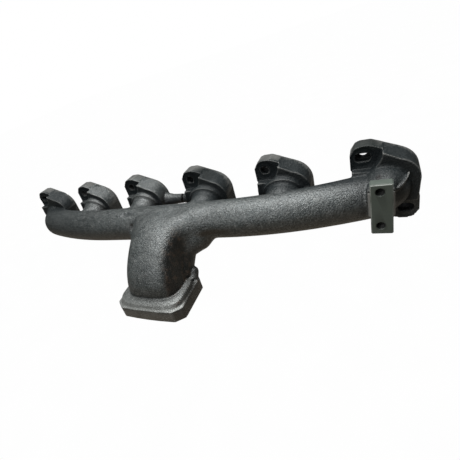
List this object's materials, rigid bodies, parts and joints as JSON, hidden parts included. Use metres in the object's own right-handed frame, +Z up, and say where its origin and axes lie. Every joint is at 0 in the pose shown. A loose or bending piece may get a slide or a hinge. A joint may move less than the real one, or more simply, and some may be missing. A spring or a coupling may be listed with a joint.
{
  "type": "exhaust manifold",
  "caption": "Cast-iron exhaust manifold for an in-line engine: a log pipe with port flanges, a divided elbow outlet to the turbocharger, gaskets and a bracket block.",
  "frame": {"origin": "on the machined faces of the six port flanges, on the line through the port centres, midway between ports 3 and 4", "axes": "+X along the log pipe towards port 6, +Y out of the port flanges towards the cylinder head, +Z up; the outlet points along -Z"},
  "size_m": [0.7564, 0.2195, 0.1707],
  "materials": {
    "cast_body": "dark oiled sand-cast skin",
    "machined_block": "smooth dark oxide on machined faces",
    "weld_metal": "dull weld bead",
    "gasket_sheet": "matt embossed steel sheet"
  },
  "bodies": {
    "root": {"manifold_casting": "cast_body", "bracket_block": "machined_block", "bracket_weld": "weld_metal", "port_gasket_1": "gasket_sheet", "port_gasket_2": "gasket_sheet", "port_gasket_3": "gasket_sheet", "port_gasket_4": "gasket_sheet", "port_gasket_5": "gasket_sheet", "port_gasket_6": "gasket_sheet", "outlet_gasket": "gasket_sheet"}
  },
  "joints": []
}
